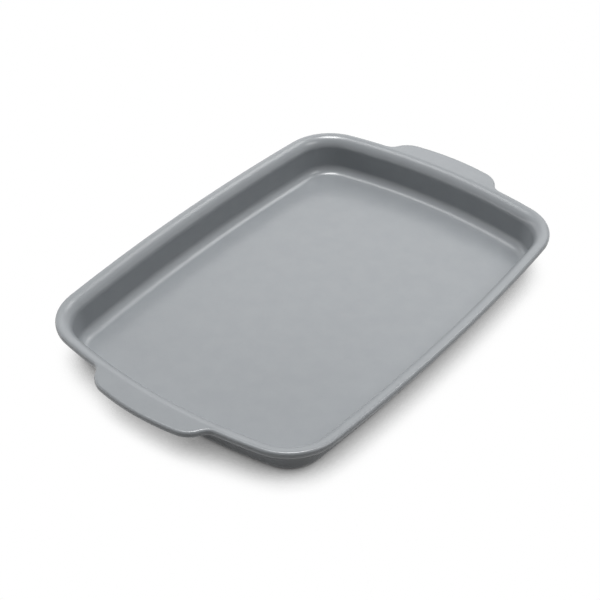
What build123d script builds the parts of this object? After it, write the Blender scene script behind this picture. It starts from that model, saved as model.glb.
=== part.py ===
from build123d import *
import os
from math import atan2, cos, degrees, radians, sin, sqrt

# A jelly roll pan: one steel sheet pressed into a shallow tray, with a grip tab at each end
# and its edge rolled under all the way round. A thin coating is bonded to each face of the
# sheet and goes round the roll with it. X runs along the pan, Y across it and Z up. The
# origin is on the surface that the pan stands on, below its middle. The pan is the same
# on both sides of the X axis and of the Y axis, so a quarter is made and mirrored twice.

# The outline of the rolled edge, seen from above, without the tabs
rim_length = 401.0
rim_width = 286.5
long_side_bow = 11.0
short_side_bow = 20.4
corner_radius = 47.3

# The sheet and its two coatings
steel_thickness = 0.7
coating_thickness = 0.05

# The section through a side, from the rolled edge down to the floor
pan_height = 35.3
edge_roll_radius = 2.2
edge_roll_drop = 1.5
edge_roll_turn = 190.0
flange_flat = 0.2
crest_radius = 11.2
wall_angle = 84.0
foot_radius = 9.5

# The grip tabs, measured on the rolled edge
tab_reach = 16.6
tab_root_width = 113.5
tab_end_radius = 225.0
tab_root_radius = 11.01
tab_side_splay = 28.0

quarter_turn = 90.0
half_turn = 180.0

half_length = rim_length / 2
half_width = rim_width / 2
sheet_thickness = steel_thickness + 2 * coating_thickness

# Places on the section, as the inset from the rolled edge's outside and the height
crest_inset = edge_roll_radius + flange_flat
crest_height = pan_height - crest_radius
foot_height = sheet_thickness + foot_radius
wall_lean = radians(wall_angle)
curve_drop = (crest_radius + foot_radius) * (1 - cos(wall_lean))
wall_run = (pan_height - sheet_thickness - curve_drop) / sin(wall_lean)
foot_inset = crest_inset + (crest_radius + foot_radius) * sin(wall_lean) + wall_run * cos(wall_lean)


def heading(angle):
    """The level direction at this angle from the X axis."""
    return Vector(cos(radians(angle)), sin(radians(angle)))


def angle_of(direction):
    """The angle of a level direction from the X axis."""
    return degrees(atan2(direction.Y, direction.X))


def way_out(start, direction, center, radius):
    """How far a line runs from start, along direction, until it leaves a circle."""
    to_start = start - center
    along = to_start.dot(direction)
    return sqrt(along**2 - to_start.dot(to_start) + radius**2) - along


class Bend:
    """A stretch of outline that turns round a center. A hollow bend has the pan outside it."""

    def __init__(self, center, radius, start, end, hollow=False):
        self.center = center
        self.start = start
        self.sweep = end - start
        self.inward = 1 if hollow else -1
        self.radius = radius

    def line(self, inset):
        return CenterArc(self.center, self.radius + self.inward * inset, self.start, self.sweep)

    def section_plane(self):
        out = heading(self.start)
        edge = self.center + out * self.radius
        return Plane(origin=edge, x_dir=out * self.inward, z_dir=(out * self.inward).cross(Vector(0, 0, 1)))

    def carry(self, section):
        revolve(section.sketch, axis=Axis(self.center, (0, 0, 1)), revolution_arc=self.sweep)


# The bowed sides are arcs as long as the rim, and the corner arcs lie inside both
long_side_radius = (half_length**2 + long_side_bow**2) / (2 * long_side_bow)
short_side_radius = (half_width**2 + short_side_bow**2) / (2 * short_side_bow)
long_center = Vector(0, half_width - long_side_radius)
short_center = Vector(half_length - short_side_radius, 0)


def corner_place():
    """The center of the corner arc, where the circles that can hold it cross."""
    long_reach = long_side_radius - corner_radius
    short_reach = short_side_radius - corner_radius
    between = short_center - long_center
    apart = between.length
    along = (long_reach**2 - short_reach**2 + apart**2) / (2 * apart)
    aside = sqrt(long_reach**2 - along**2)
    ahead = between.normalized()
    return long_center + ahead * along + Vector(ahead.Y, -ahead.X) * aside


corner_center = corner_place()
long_end = angle_of(corner_center - long_center)
short_end = angle_of(corner_center - short_center)

# A tab's side leans in to the bowed end. It is two curves, which meet on the splayed line
# through the root, and the outer curve's radius is the one that runs on into the end.
root_half = tab_root_width / 2
root = Vector(short_center.X + sqrt(short_side_radius**2 - root_half**2), root_half)
side_way = heading(-tab_side_splay)
side_turn = quarter_turn - tab_side_splay
side_out = heading(side_turn)
end_center = Vector(half_length + tab_reach - tab_end_radius, 0)
fillet_start = root + side_out * tab_root_radius
fillet_run = way_out(fillet_start, side_way, short_center, short_side_radius + tab_root_radius)
fillet_center = fillet_start + side_way * fillet_run
meeting = root + side_way * fillet_run
from_end = meeting - end_center
spare = tab_end_radius - from_end.dot(side_out)
tab_corner_radius = (tab_end_radius**2 - from_end.dot(from_end)) / (2 * spare)
grip_center = meeting - side_out * tab_corner_radius
fillet_turn = angle_of(fillet_center - short_center)
grip_turn = angle_of(grip_center - end_center)

long_side = Bend(long_center, long_side_radius, quarter_turn, long_end)
corner = Bend(corner_center, corner_radius, long_end, short_end)
short_side = Bend(short_center, short_side_radius, short_end, 0)
side_by_tab = Bend(short_center, short_side_radius, short_end, fillet_turn)
tab_root = Bend(fillet_center, tab_root_radius, half_turn + fillet_turn, half_turn + side_turn, hollow=True)
tab_corner = Bend(grip_center, tab_corner_radius, side_turn, grip_turn)
tab_end = Bend(end_center, tab_end_radius, grip_turn, 0)

bowl_outline = [long_side, corner, short_side]
rim_outline = [long_side, corner, side_by_tab, tab_root, tab_corner, tab_end]


def bowl_section(plane, over, under):
    """The crest, wall and foot of a layer that lies between two depths below the top face."""
    crest = (crest_inset, crest_height)
    foot = (foot_inset, foot_height)
    crest_start = quarter_turn - wall_angle
    foot_start = half_turn + crest_start
    with BuildSketch(plane) as section:
        with BuildLine():
            upper_crest = CenterArc(crest, crest_radius - over, crest_start, wall_angle)
            upper_foot = CenterArc(foot, foot_radius + over, foot_start, wall_angle)
            lower_crest = CenterArc(crest, crest_radius - under, crest_start, wall_angle)
            lower_foot = CenterArc(foot, foot_radius + under, foot_start, wall_angle)
            Line(upper_crest @ 0, upper_foot @ 0)
            Line(upper_foot @ 1, lower_foot @ 1)
            Line(lower_foot @ 0, lower_crest @ 0)
            Line(lower_crest @ 1, upper_crest @ 1)
        make_face()
    return section


def roll_section(plane, over, under):
    """The rolled edge of a layer: over the top, straight down a little, then round and under."""
    top = (edge_roll_radius, pan_height - edge_roll_radius)
    bottom = (edge_roll_radius, pan_height - edge_roll_radius - edge_roll_drop)
    with BuildSketch(plane) as section:
        with BuildLine():
            outer_top = CenterArc(top, edge_roll_radius - over, quarter_turn, quarter_turn)
            inner_top = CenterArc(top, edge_roll_radius - under, quarter_turn, quarter_turn)
            outer_bottom = CenterArc(bottom, edge_roll_radius - over, half_turn, edge_roll_turn)
            inner_bottom = CenterArc(bottom, edge_roll_radius - under, half_turn, edge_roll_turn)
            Line(outer_top @ 0, inner_top @ 0)
            Line(outer_top @ 1, outer_bottom @ 0)
            Line(inner_top @ 1, inner_bottom @ 0)
            Line(outer_bottom @ 1, inner_bottom @ 1)
        make_face()
    return section


def flange_face(plane):
    """A quarter of the flat flange and half of a tab, between the crest and the rolled edge."""
    with BuildSketch(plane) as flange:
        with BuildLine():
            outside = [stretch.line(edge_roll_radius) for stretch in rim_outline]
            inside = [stretch.line(crest_inset) for stretch in bowl_outline]
            Line(outside[0] @ 0, inside[0] @ 0)
            Line(outside[-1] @ 1, inside[-1] @ 1)
        make_face()
    return flange


def floor_face(plane):
    """A quarter of the flat floor, inside the foot of the walls."""
    with BuildSketch(plane) as floor:
        with BuildLine():
            inside = [stretch.line(foot_inset) for stretch in bowl_outline]
            Polyline(inside[-1] @ 1, (0, 0), inside[0] @ 0)
        make_face()
    return floor


def press_layer(over, under):
    """One layer of the pan, between two depths below the top face of the sheet."""
    thickness = under - over
    for stretch in bowl_outline:
        stretch.carry(bowl_section(stretch.section_plane(), over, under))
    extrude(floor_face(Plane.XY.offset(sheet_thickness - under)).sketch, amount=thickness)
    extrude(flange_face(Plane.XY.offset(pan_height - under)).sketch, amount=thickness)
    for stretch in rim_outline:
        stretch.carry(roll_section(stretch.section_plane(), over, under))
    mirror(about=Plane.YZ)
    mirror(about=Plane.XZ)


steel_top = coating_thickness
steel_underside = coating_thickness + steel_thickness

# The coating on the top face, which the food lies on and which also covers the rolled edge
with BuildPart() as inside_coating:
    press_layer(0, steel_top)
inside_coating.part.label = "inside_coating"

# The pressed steel sheet
with BuildPart() as steel_tray:
    press_layer(steel_top, steel_underside)
steel_tray.part.label = "steel_tray"

# The coating on the underside, which ends inside the roll
with BuildPart() as outside_coating:
    press_layer(steel_underside, sheet_thickness)
outside_coating.part.label = "outside_coating"

os.makedirs("parts", exist_ok=True)
export_step(inside_coating.part, "parts/inside_coating.step")
export_step(steel_tray.part, "parts/steel_tray.step")
export_step(outside_coating.part, "parts/outside_coating.step")
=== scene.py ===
from math import atan2, cos, pi, radians, sin, sqrt

import bpy
from mathutils import Matrix, Vector


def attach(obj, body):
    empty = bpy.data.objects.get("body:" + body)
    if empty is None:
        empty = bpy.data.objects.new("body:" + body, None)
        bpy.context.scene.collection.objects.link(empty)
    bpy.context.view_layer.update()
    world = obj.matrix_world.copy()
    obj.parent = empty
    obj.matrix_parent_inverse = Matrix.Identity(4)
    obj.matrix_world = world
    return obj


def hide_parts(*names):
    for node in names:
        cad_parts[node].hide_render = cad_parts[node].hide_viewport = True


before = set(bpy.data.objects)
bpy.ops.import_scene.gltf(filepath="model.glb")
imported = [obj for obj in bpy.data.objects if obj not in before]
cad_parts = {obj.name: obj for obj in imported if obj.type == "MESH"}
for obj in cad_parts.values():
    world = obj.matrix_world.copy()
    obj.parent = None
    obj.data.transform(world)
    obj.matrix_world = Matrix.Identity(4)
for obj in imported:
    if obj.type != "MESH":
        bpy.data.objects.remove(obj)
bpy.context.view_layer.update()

# A jelly roll pan in metres: one pressed steel sheet between two coatings. X runs along the
# pan, Y across it and Z up, and the origin is on the surface that it stands on.

# The outline of the rolled edge, seen from above, without the tabs
rim_length = 0.401
rim_width = 0.2865
long_side_bow = 0.011
short_side_bow = 0.0204
corner_radius = 0.0473

# The sheet and its two coatings
steel_thickness = 0.0007
coating_thickness = 0.00005

# The section through a side, from the rolled edge down to the floor
pan_height = 0.0353
edge_roll_radius = 0.0022
edge_roll_drop = 0.0015
edge_roll_turn = radians(190)
flange_flat = 0.0002
crest_radius = 0.0112
wall_angle = radians(84)
foot_radius = 0.0095

# The grip tabs, measured on the rolled edge
tab_reach = 0.0166
tab_root_width = 0.1135
tab_end_radius = 0.225
tab_root_radius = 0.01101
tab_side_splay = radians(28)

# How finely the meshes are divided
long_side_steps = 20
corner_steps = 14
side_by_tab_steps = 6
tab_root_steps = 5
tab_corner_steps = 6
tab_end_steps = 8
roll_crown_steps = 6
roll_under_steps = 10
flange_steps = 3
crest_steps = 12
wall_steps = 2
foot_steps = 10

# The camera, as the photograph was taken. The focal share is its focal length over its width.
camera_azimuth = radians(-51.65)
camera_elevation = radians(38.87)
camera_roll = radians(-0.39)
camera_distance = 1.171
camera_target = Vector((-0.00657, 0.0078, 0.003))
focal_share = 1372 / 600
sensor_width = 36.0

# The studio. The away azimuth points straight behind the pan, as the camera sees it.
away_azimuth = radians(38)
panel_distance = 2.5
panel_height = 0.62
fill_strength = 0.02
floor_size = 12.0
floor_albedo = 0.35

# The pan's shadow on the floor, from how open each place is to the light: how near the pan
# counts, how open a black place and a white place are, and which way the light leans
shadow_reach = 0.042
shadow_black = 0.0
shadow_white = 0.66
shadow_lean = 0.3
shadow_azimuth = radians(30)
shadow_samples = 16

# The soft panels round the pan: the turn from straight behind it and the elevation in
# degrees, then the width in metres and the power in watts
panels = {
    "overhead": (0, 78, 0.755, 43.9),
    "behind": (0, 36, 1.08, 2.6),
    "low_behind": (0, 22, 1.24, 1.1),
    "behind_right": (-36, 50, 1.04, 10.2),
    "right": (-108, 50, 1.04, 12.4),
    "low_right": (-90, 8, 1.33, 1.8),
    "high_left": (45, 64, 0.91, 6.3),
    "left": (60, 22, 1.24, 3.8),
    "low_left": (90, 8, 1.33, 5.8),
    "front_left": (120, 8, 1.33, 1.9),
}

# The coat: satin grey, faintly mottled and speckled, with a fine orange peel, and rubbed a
# little paler and smoother along the rolled edge. Each noise is its scale and its detail,
# and each range is the part of the noise in which the effect goes from none to full.
coat_dark = (0.276, 0.292, 0.308, 1)
coat_pale = (0.286, 0.303, 0.318, 1)
coat_fleck = (0.2, 0.218, 0.23, 1)
coat_rubbed = (0.36, 0.38, 0.39, 1)
coat_ior = 1.5
coat_satin = 0.25
coat_spread = 0.006
mottle_noise = (55.0, 3.0)
mottle_range = (0.35, 0.65)
gloss_noise = (90.0, 2.0)
gloss_range = (0.3, 0.7)
fleck_noise = (1500.0, 1.0)
fleck_range = (0.68, 0.76)
fleck_share = 0.5
rub_noise = (260.0, 4.0)
rub_range = (0.42, 0.68)
rub_share = 0.15
rub_gloss = 0.015
peel_noise = (1100.0, 2.0)
peel_height = 0.00001

# The steel, bare only where the sheet was cut
steel_dark = (0.36, 0.36, 0.37, 1)
steel_pale = (0.5, 0.5, 0.51, 1)
steel_smooth = 0.28
steel_rough = 0.42
streak_stretch = (40.0, 40.0, 6000.0)
streak_noise = (1.0, 4.0)
streak_range = (0.3, 0.7)
streak_height = 0.000004

quarter_turn = pi / 2
upward = Vector((0, 0, 1))
half_length = rim_length / 2
half_width = rim_width / 2
sheet_thickness = steel_thickness + 2 * coating_thickness

# Places on the section, as the inset from the rolled edge's outside and the height
crest_inset = edge_roll_radius + flange_flat
crest_height = pan_height - crest_radius
foot_height = sheet_thickness + foot_radius
curve_drop = (crest_radius + foot_radius) * (1 - cos(wall_angle))
wall_run = (pan_height - sheet_thickness - curve_drop) / sin(wall_angle)
foot_inset = crest_inset + (crest_radius + foot_radius) * sin(wall_angle) + wall_run * cos(wall_angle)


def heading(angle):
    """The level direction at this angle from the X axis."""
    return Vector((cos(angle), sin(angle), 0))


def angle_of(direction):
    """The angle of a level direction from the X axis."""
    return atan2(direction.y, direction.x)


def way_out(start, direction, center, radius):
    """How far a line runs from start, along direction, until it leaves a circle."""
    to_start = start - center
    along = to_start.dot(direction)
    return sqrt(along**2 - to_start.dot(to_start) + radius**2) - along


# The bowed sides are arcs as long as the rim, and the corner arcs lie inside both
long_side_radius = (half_length**2 + long_side_bow**2) / (2 * long_side_bow)
short_side_radius = (half_width**2 + short_side_bow**2) / (2 * short_side_bow)
long_center = Vector((0, half_width - long_side_radius, 0))
short_center = Vector((half_length - short_side_radius, 0, 0))


def corner_place():
    """The center of the corner arc, where the circles that can hold it cross."""
    long_reach = long_side_radius - corner_radius
    short_reach = short_side_radius - corner_radius
    between = short_center - long_center
    apart = between.length
    along = (long_reach**2 - short_reach**2 + apart**2) / (2 * apart)
    aside = sqrt(long_reach**2 - along**2)
    ahead = between.normalized()
    return long_center + ahead * along + ahead.cross(upward) * aside


corner_center = corner_place()
long_end = angle_of(corner_center - long_center)
short_end = angle_of(corner_center - short_center)

# A tab's side leans in to the bowed end. It is two curves, which meet on the splayed line
# through the root, and the outer curve's radius is the one that runs on into the end.
root_half = tab_root_width / 2
root = Vector((short_center.x + sqrt(short_side_radius**2 - root_half**2), root_half, 0))
side_way = heading(-tab_side_splay)
side_turn = quarter_turn - tab_side_splay
side_out = heading(side_turn)
end_center = Vector((half_length + tab_reach - tab_end_radius, 0, 0))
fillet_start = root + side_out * tab_root_radius
fillet_run = way_out(fillet_start, side_way, short_center, short_side_radius + tab_root_radius)
fillet_center = fillet_start + side_way * fillet_run
meeting = root + side_way * fillet_run
from_end = meeting - end_center
spare = tab_end_radius - from_end.dot(side_out)
tab_corner_radius = (tab_end_radius**2 - from_end.dot(from_end)) / (2 * spare)
grip_center = meeting - side_out * tab_corner_radius
fillet_turn = angle_of(fillet_center - short_center)
grip_turn = angle_of(grip_center - end_center)


def bend(center, radius, start, end, steps, hollow=False):
    """Edge points on an arc, each with the level direction into the pan, without the last one."""
    inward = 1 if hollow else -1
    rays = [heading(start + (end - start) * step / steps) for step in range(steps)]
    return [(center + ray * radius, ray * inward) for ray in rays]


def quarter_of_rim():
    """The rolled edge from the middle of the long side to the middle of the tab."""
    middle = (end_center + heading(0) * tab_end_radius, -heading(0))
    return [
        *bend(long_center, long_side_radius, quarter_turn, long_end, long_side_steps),
        *bend(corner_center, corner_radius, long_end, short_end, corner_steps),
        *bend(short_center, short_side_radius, short_end, fillet_turn, side_by_tab_steps),
        *bend(fillet_center, tab_root_radius, pi + fillet_turn, pi + side_turn, tab_root_steps, hollow=True),
        *bend(grip_center, tab_corner_radius, side_turn, grip_turn, tab_corner_steps),
        *bend(end_center, tab_end_radius, grip_turn, 0, tab_end_steps),
        middle,
    ]


def bowl_beside(rim):
    """The bowl's outline beside each point of the rim: the same line, but straight past a tab."""
    kept = long_side_steps + corner_steps
    rays = [heading(angle_of(edge - short_center)) for edge, inward in rim[kept:]]
    return rim[:kept] + [(short_center + ray * short_side_radius, -ray) for ray in rays]


def all_round(quarter):
    """A whole loop from its first quarter, which is mirrored in both upright middle planes."""
    steps = len(quarter) - 1
    onward = range(steps)
    backward = range(steps, 0, -1)
    turned = [(1, 1, onward), (1, -1, backward), (-1, -1, onward), (-1, 1, backward)]
    return [
        tuple(Vector((part.x * along, part.y * across, 0)) for part in quarter[place])
        for along, across, places in turned
        for place in places
    ]


def spread(start, end, steps):
    """Even values from start to end, with both."""
    return [start + (end - start) * step / steps for step in range(steps + 1)]


class Spot:
    """A place on the section, by its inset from the edge and its height. The share goes from 0
    on the rolled edge to 1 on the bowl. The normal has a part into the pan and a part upward."""

    def __init__(self, share, inset, height, inward, upward_part):
        self.share = share
        self.inset = inset
        self.height = height
        self.inward = inward
        self.upward_part = upward_part

    def place(self, rim, bowl):
        outer = rim[0] + rim[1] * self.inset
        inner = bowl[0] + bowl[1] * self.inset
        return outer.lerp(inner, self.share) + upward * self.height

    def normal(self, rim, bowl):
        level = rim[1].lerp(bowl[1], self.share)
        return (level * self.inward + upward * self.upward_part).normalized()


def arc_spots(share, inset, height, radius, angles, side=1):
    """Spots round a center. The side is -1 where the sheet's top face is a hollow."""
    return [
        Spot(share, inset + radius * cos(angle), height + radius * sin(angle),
             side * cos(angle), side * sin(angle))
        for angle in angles
    ]


def section_spots(depth):
    """The section of the face at a depth below the sheet's top face, from the lip to the floor."""
    roll = edge_roll_radius - depth
    crown_height = pan_height - edge_roll_radius
    under_angles = spread(pi + edge_roll_turn, pi, roll_under_steps)
    crown_angles = spread(pi, quarter_turn, roll_crown_steps)
    crest_angles = spread(quarter_turn, quarter_turn - wall_angle, crest_steps)
    foot_angles = spread(pi + quarter_turn - wall_angle, pi + quarter_turn, foot_steps)
    under = arc_spots(0, edge_roll_radius, crown_height - edge_roll_drop, roll, under_angles)
    crown = arc_spots(0, edge_roll_radius, crown_height, roll, crown_angles)
    flange = [
        Spot(share, edge_roll_radius + share * flange_flat, pan_height - depth, 0, 1)
        for share in spread(0, 1, flange_steps)[1:-1]
    ]
    crest = arc_spots(1, crest_inset, crest_height, crest_radius - depth, crest_angles)
    foot = arc_spots(1, foot_inset, foot_height, foot_radius + depth, foot_angles, side=-1)
    high, low = crest[-1], foot[0]
    wall = [
        Spot(1, high.inset + (low.inset - high.inset) * share,
             high.height + (low.height - high.height) * share, high.inward, high.upward_part)
        for share in spread(0, 1, wall_steps)[1:-1]
    ]
    return under + crown + flange + crest + wall + foot


rim_loop = all_round(quarter_of_rim())
bowl_loop = all_round(bowl_beside(quarter_of_rim()))
turns = len(rim_loop)
corner_middle = long_side_steps + corner_steps // 2
floor_columns = 2 * corner_middle
floor_rows = turns // 2 - floor_columns


class Layer:
    """One layer of the pan as a closed mesh, between two depths below the sheet's top face."""

    def __init__(self, over, under):
        self.points = []
        self.normals = []
        self.wear = []
        self.faces = []
        top = self.add_face(section_spots(over), 1)
        bottom = self.add_face(section_spots(under), -1)
        self.smooth_faces = len(self.faces)
        for turn in range(turns):
            after = (turn + 1) % turns
            self.faces.append((top(turn, 0), top(after, 0), bottom(after, 0), bottom(turn, 0)))

    def add_point(self, point, normal, wear):
        self.points.append(point)
        self.normals.append(normal)
        self.wear.append(wear)

    def add_quad(self, corners, side):
        self.faces.append(tuple(corners if side > 0 else reversed(corners)))

    def add_face(self, spots, side):
        """One face of the layer. The side is 1 on top and -1 beneath."""
        first = len(self.points)
        width = len(spots)
        for rim, bowl in zip(rim_loop, bowl_loop):
            for spot in spots:
                wear = max(0.0, -spot.inward) if spot.share == 0 else 0.0
                self.add_point(spot.place(rim, bowl), spot.normal(rim, bowl) * side, wear)

        def place(turn, column):
            return first + turn % turns * width + column

        for turn in range(turns):
            for column in range(width - 1):
                corners = [(turn, column), (turn, column + 1), (turn + 1, column + 1), (turn + 1, column)]
                self.add_quad([place(*corner) for corner in corners], side)
        self.add_floor([place(turn, width - 1) for turn in range(turns)], side)
        return place

    def add_floor(self, ring, side):
        """A grid of faces inside a ring of points, blended from its four sides."""
        back = [ring[(column - corner_middle) % turns] for column in range(floor_columns + 1)]
        front = [ring[turns // 2 + corner_middle - column] for column in range(floor_columns + 1)]
        right = [ring[corner_middle + row] for row in range(floor_rows + 1)]
        left = [ring[(-corner_middle - row) % turns] for row in range(floor_rows + 1)]
        grid = [back, *[[left[row]] for row in range(1, floor_rows)], front]
        for row in range(1, floor_rows):
            down = row / floor_rows
            for column in range(1, floor_columns):
                along = column / floor_columns
                across_sides = self.points[back[column]].lerp(self.points[front[column]], down)
                along_sides = self.points[left[row]].lerp(self.points[right[row]], along)
                back_corners = self.points[back[0]].lerp(self.points[back[-1]], along)
                front_corners = self.points[front[0]].lerp(self.points[front[-1]], along)
                grid[row].append(len(self.points))
                point = across_sides + along_sides - back_corners.lerp(front_corners, down)
                self.add_point(point, upward * side, 0.0)
            grid[row].append(right[row])
        for this_row, next_row in zip(grid, grid[1:]):
            for column in range(floor_columns):
                after = column + 1
                self.add_quad([this_row[column], next_row[column], next_row[after], this_row[after]], side)

    def mesh(self, name):
        mesh = bpy.data.meshes.new(name)
        mesh.from_pydata(self.points, [], self.faces)
        mesh.shade_smooth()
        cut_normals = [polygon.normal.copy() for polygon in mesh.polygons[self.smooth_faces:]]
        normals = [self.normals[corner] for face in self.faces[:self.smooth_faces] for corner in face]
        normals += [normal for normal in cut_normals for corner in range(4)]
        mesh.normals_split_custom_set(normals)
        wear = mesh.attributes.new("wear", "FLOAT", "POINT")
        wear.data.foreach_set("value", self.wear)
        return mesh


def add_layer(node, over, under, material):
    """Replaces a CAD node by this layer's mesh."""
    piece = bpy.data.objects.new(f"{node}_shell", Layer(over, under).mesh(node))
    piece.data.materials.append(material)
    bpy.context.scene.collection.objects.link(piece)
    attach(piece, "root")
    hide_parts(node)


class Surface:
    """A material under way: its node tree, its shader and the piece's own space."""

    def __init__(self, name):
        self.material = bpy.data.materials.new(name)
        self.material.use_nodes = True
        self.tree = self.material.node_tree
        self.shader = self.tree.nodes["Principled BSDF"]
        self.space = self.tree.nodes.new("ShaderNodeTexCoord").outputs["Object"]

    def node(self, kind, **inputs):
        """A new node, with each named input set to a value or joined to a socket."""
        made = self.tree.nodes.new(kind)
        for name, value in inputs.items():
            socket = made.inputs[name.replace("_", " ")]
            if isinstance(value, bpy.types.NodeSocket):
                self.tree.links.new(value, socket)
            else:
                socket.default_value = value
        return made

    def noise(self, scale, detail, place=None):
        made = self.node("ShaderNodeTexNoise", Vector=place or self.space, Scale=scale, Detail=detail)
        return made.outputs[0]

    def ranged(self, source, start, end, low, high):
        """The source's range from start to end, moved to the range from low to high."""
        ends = {"From_Min": start, "From_Max": end, "To_Min": low, "To_Max": high}
        return self.node("ShaderNodeMapRange", Value=source, **ends).outputs[0]

    def combined(self, operation, first, second):
        """Two sockets, multiplied, subtracted or the like."""
        made = self.node("ShaderNodeMath")
        made.operation = operation
        self.tree.links.new(first, made.inputs[0])
        self.tree.links.new(second, made.inputs[1])
        return made.outputs[0]

    def blend(self, share, first, second):
        """A colour that goes from the first to the second with the share."""
        made = self.node("ShaderNodeMixRGB", Fac=share, Color1=first, Color2=second)
        return made.outputs[0]

    def set(self, name, value):
        socket = self.shader.inputs[name]
        if isinstance(value, bpy.types.NodeSocket):
            self.tree.links.new(value, socket)
        else:
            socket.default_value = value

    def bump(self, height, depth):
        made = self.node("ShaderNodeBump", Height=height, Distance=depth, Strength=1.0)
        self.set("Normal", made.outputs[0])


def coat_material():
    coat = Surface("coat")
    mottle = coat.ranged(coat.noise(*mottle_noise), *mottle_range, 0, 1)
    fleck = coat.ranged(coat.noise(*fleck_noise), *fleck_range, 0, fleck_share)
    edge = coat.node("ShaderNodeAttribute")
    edge.attribute_name = "wear"
    patches = coat.ranged(coat.noise(*rub_noise), *rub_range, 0, rub_share)
    rub = coat.combined("MULTIPLY", edge.outputs["Fac"], patches)
    color = coat.blend(fleck, coat.blend(mottle, coat_dark, coat_pale), coat_fleck)
    smoothest = coat_satin - coat_spread
    roughest = coat_satin + coat_spread
    satin = coat.ranged(coat.noise(*gloss_noise), *gloss_range, smoothest, roughest)
    smoothing = coat.ranged(rub, 0, rub_share, 0, rub_gloss)
    coat.set("Base Color", coat.blend(rub, color, coat_rubbed))
    coat.set("Roughness", coat.combined("SUBTRACT", satin, smoothing))
    coat.set("IOR", coat_ior)
    coat.bump(coat.noise(*peel_noise), peel_height)
    return coat.material


def steel_material():
    steel = Surface("brushed_steel")
    stretched = steel.node("ShaderNodeMapping", Vector=steel.space, Scale=streak_stretch)
    streaks = steel.noise(*streak_noise, stretched.outputs[0])
    steel.set("Base Color", steel.blend(streaks, steel_dark, steel_pale))
    steel.set("Metallic", 1.0)
    steel.set("Roughness", steel.ranged(streaks, *streak_range, steel_smooth, steel_rough))
    steel.bump(streaks, streak_height)
    return steel.material


def add_camera():
    """The camera at the photograph's place, turned a little about its line of sight."""
    back = Vector((
        sin(camera_azimuth) * cos(camera_elevation),
        -cos(camera_azimuth) * cos(camera_elevation),
        sin(camera_elevation),
    ))
    side = upward.cross(back).normalized()
    above = back.cross(side)
    right = cos(camera_roll) * side + sin(camera_roll) * above
    top = cos(camera_roll) * above - sin(camera_roll) * side
    data = bpy.data.cameras.new("camera")
    data.sensor_width = sensor_width
    data.lens = focal_share * sensor_width
    camera = bpy.data.objects.new("camera", data)
    turn = Matrix((right, top, back)).transposed().to_4x4()
    camera.matrix_world = Matrix.Translation(camera_target + back * camera_distance) @ turn
    bpy.context.scene.collection.objects.link(camera)
    bpy.context.scene.camera = camera


def add_panel(name, turn, elevation, width, power):
    """A soft light that faces the pan. Its turn is from the direction straight behind the pan."""
    ray = heading(away_azimuth + turn) * cos(elevation) + upward * sin(elevation)
    data = bpy.data.lights.new(name, "AREA")
    data.shape = "RECTANGLE"
    data.size = width
    data.size_y = panel_height
    data.energy = power
    panel = bpy.data.objects.new(name, data)
    panel.location = ray * panel_distance
    panel.rotation_euler = (-ray).to_track_quat("-Z", "Y").to_euler()
    bpy.context.scene.collection.objects.link(panel)


def shown_rays(tree):
    """A socket that is 1 for what the camera sees, also by reflection or through glass."""
    path = tree.nodes.new("ShaderNodeLightPath")
    seen = path.outputs["Is Camera Ray"]
    for kind in ("Is Glossy Ray", "Is Transmission Ray"):
        either = tree.nodes.new("ShaderNodeMath")
        either.operation = "MAXIMUM"
        tree.links.new(seen, either.inputs[0])
        tree.links.new(path.outputs[kind], either.inputs[1])
        seen = either.outputs[0]
    return seen


def shown_over(tree, lighting, shown):
    """A shader that the camera sees as one node, and that lights the pan as another."""
    pick = tree.nodes.new("ShaderNodeMixShader")
    tree.links.new(shown_rays(tree), pick.inputs["Fac"])
    tree.links.new(lighting.outputs[0], pick.inputs[1])
    tree.links.new(shown.outputs[0], pick.inputs[2])
    return pick.outputs[0]


def add_world():
    """A plain white background, which lights the pan only faintly."""
    world = bpy.data.worlds.new("studio")
    world.use_nodes = True
    tree = world.node_tree
    tree.nodes.clear()
    output = tree.nodes.new("ShaderNodeOutputWorld")
    shown = tree.nodes.new("ShaderNodeBackground")
    shown.inputs["Color"].default_value = (1, 1, 1, 1)
    fill = tree.nodes.new("ShaderNodeBackground")
    fill.inputs["Color"].default_value = (1, 1, 1, 1)
    fill.inputs["Strength"].default_value = fill_strength
    tree.links.new(shown_over(tree, fill, shown), output.inputs["Surface"])
    bpy.context.scene.world = world


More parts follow.
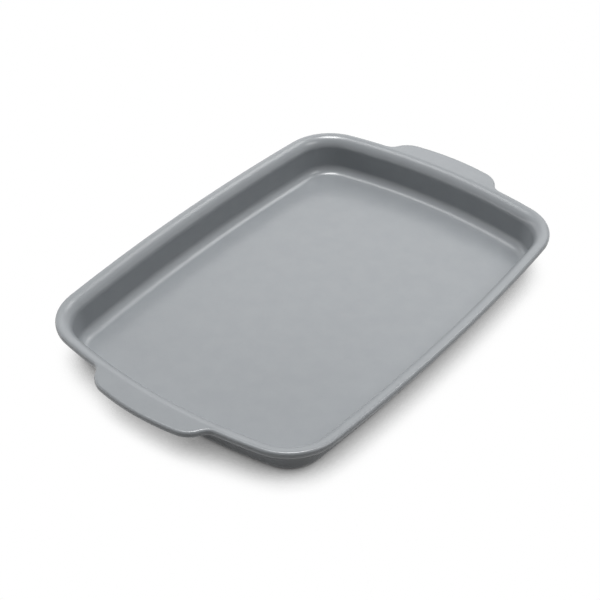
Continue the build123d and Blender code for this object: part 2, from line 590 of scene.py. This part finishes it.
def shadow_strength(tree):
    """A socket that is 1 on the open floor and falls where the pan keeps the light out."""
    toward_light = tree.nodes.new("ShaderNodeCombineXYZ")
    leaning = (upward + heading(shadow_azimuth) * shadow_lean).normalized()
    for axis, part in zip("XYZ", leaning):
        toward_light.inputs[axis].default_value = part
    openness = tree.nodes.new("ShaderNodeAmbientOcclusion")
    openness.samples = shadow_samples
    openness.inputs["Distance"].default_value = shadow_reach
    tree.links.new(toward_light.outputs[0], openness.inputs["Normal"])
    fade = tree.nodes.new("ShaderNodeMapRange")
    fade.interpolation_type = "SMOOTHSTEP"
    fade.inputs["From Min"].default_value = shadow_black
    fade.inputs["From Max"].default_value = shadow_white
    tree.links.new(openness.outputs["AO"], fade.inputs["Value"])
    return fade.outputs[0]


def floor_material():
    """White with the pan's shadow to the camera, and grey paper to the light on the pan."""
    material = bpy.data.materials.new("floor")
    material.use_nodes = True
    tree = material.node_tree
    tree.nodes.clear()
    output = tree.nodes.new("ShaderNodeOutputMaterial")
    paper = tree.nodes.new("ShaderNodeBsdfDiffuse")
    paper.inputs["Color"].default_value = (floor_albedo,) * 3 + (1,)
    white = tree.nodes.new("ShaderNodeEmission")
    tree.links.new(shadow_strength(tree), white.inputs["Strength"])
    tree.links.new(shown_over(tree, paper, white), output.inputs["Surface"])
    return material


def add_studio_floor():
    half = floor_size / 2
    corners = [(-half, -half, 0), (half, -half, 0), (half, half, 0), (-half, half, 0)]
    mesh = bpy.data.meshes.new("floor")
    mesh.from_pydata(corners, [], [(0, 1, 2, 3)])
    mesh.materials.append(floor_material())
    floor = bpy.data.objects.new("floor", mesh)
    bpy.context.scene.collection.objects.link(floor)


add_camera()
for name, (turn, elevation, width, power) in panels.items():
    add_panel(name, radians(turn), radians(elevation), width, power)
add_world()
add_studio_floor()
coat = coat_material()
steel = steel_material()
steel_top = coating_thickness
steel_underside = coating_thickness + steel_thickness
add_layer("inside_coating", 0, steel_top, coat)
add_layer("steel_tray", steel_top, steel_underside, steel)
add_layer("outside_coating", steel_underside, sheet_thickness, coat)

bpy.context.scene.view_settings.view_transform = "Standard"
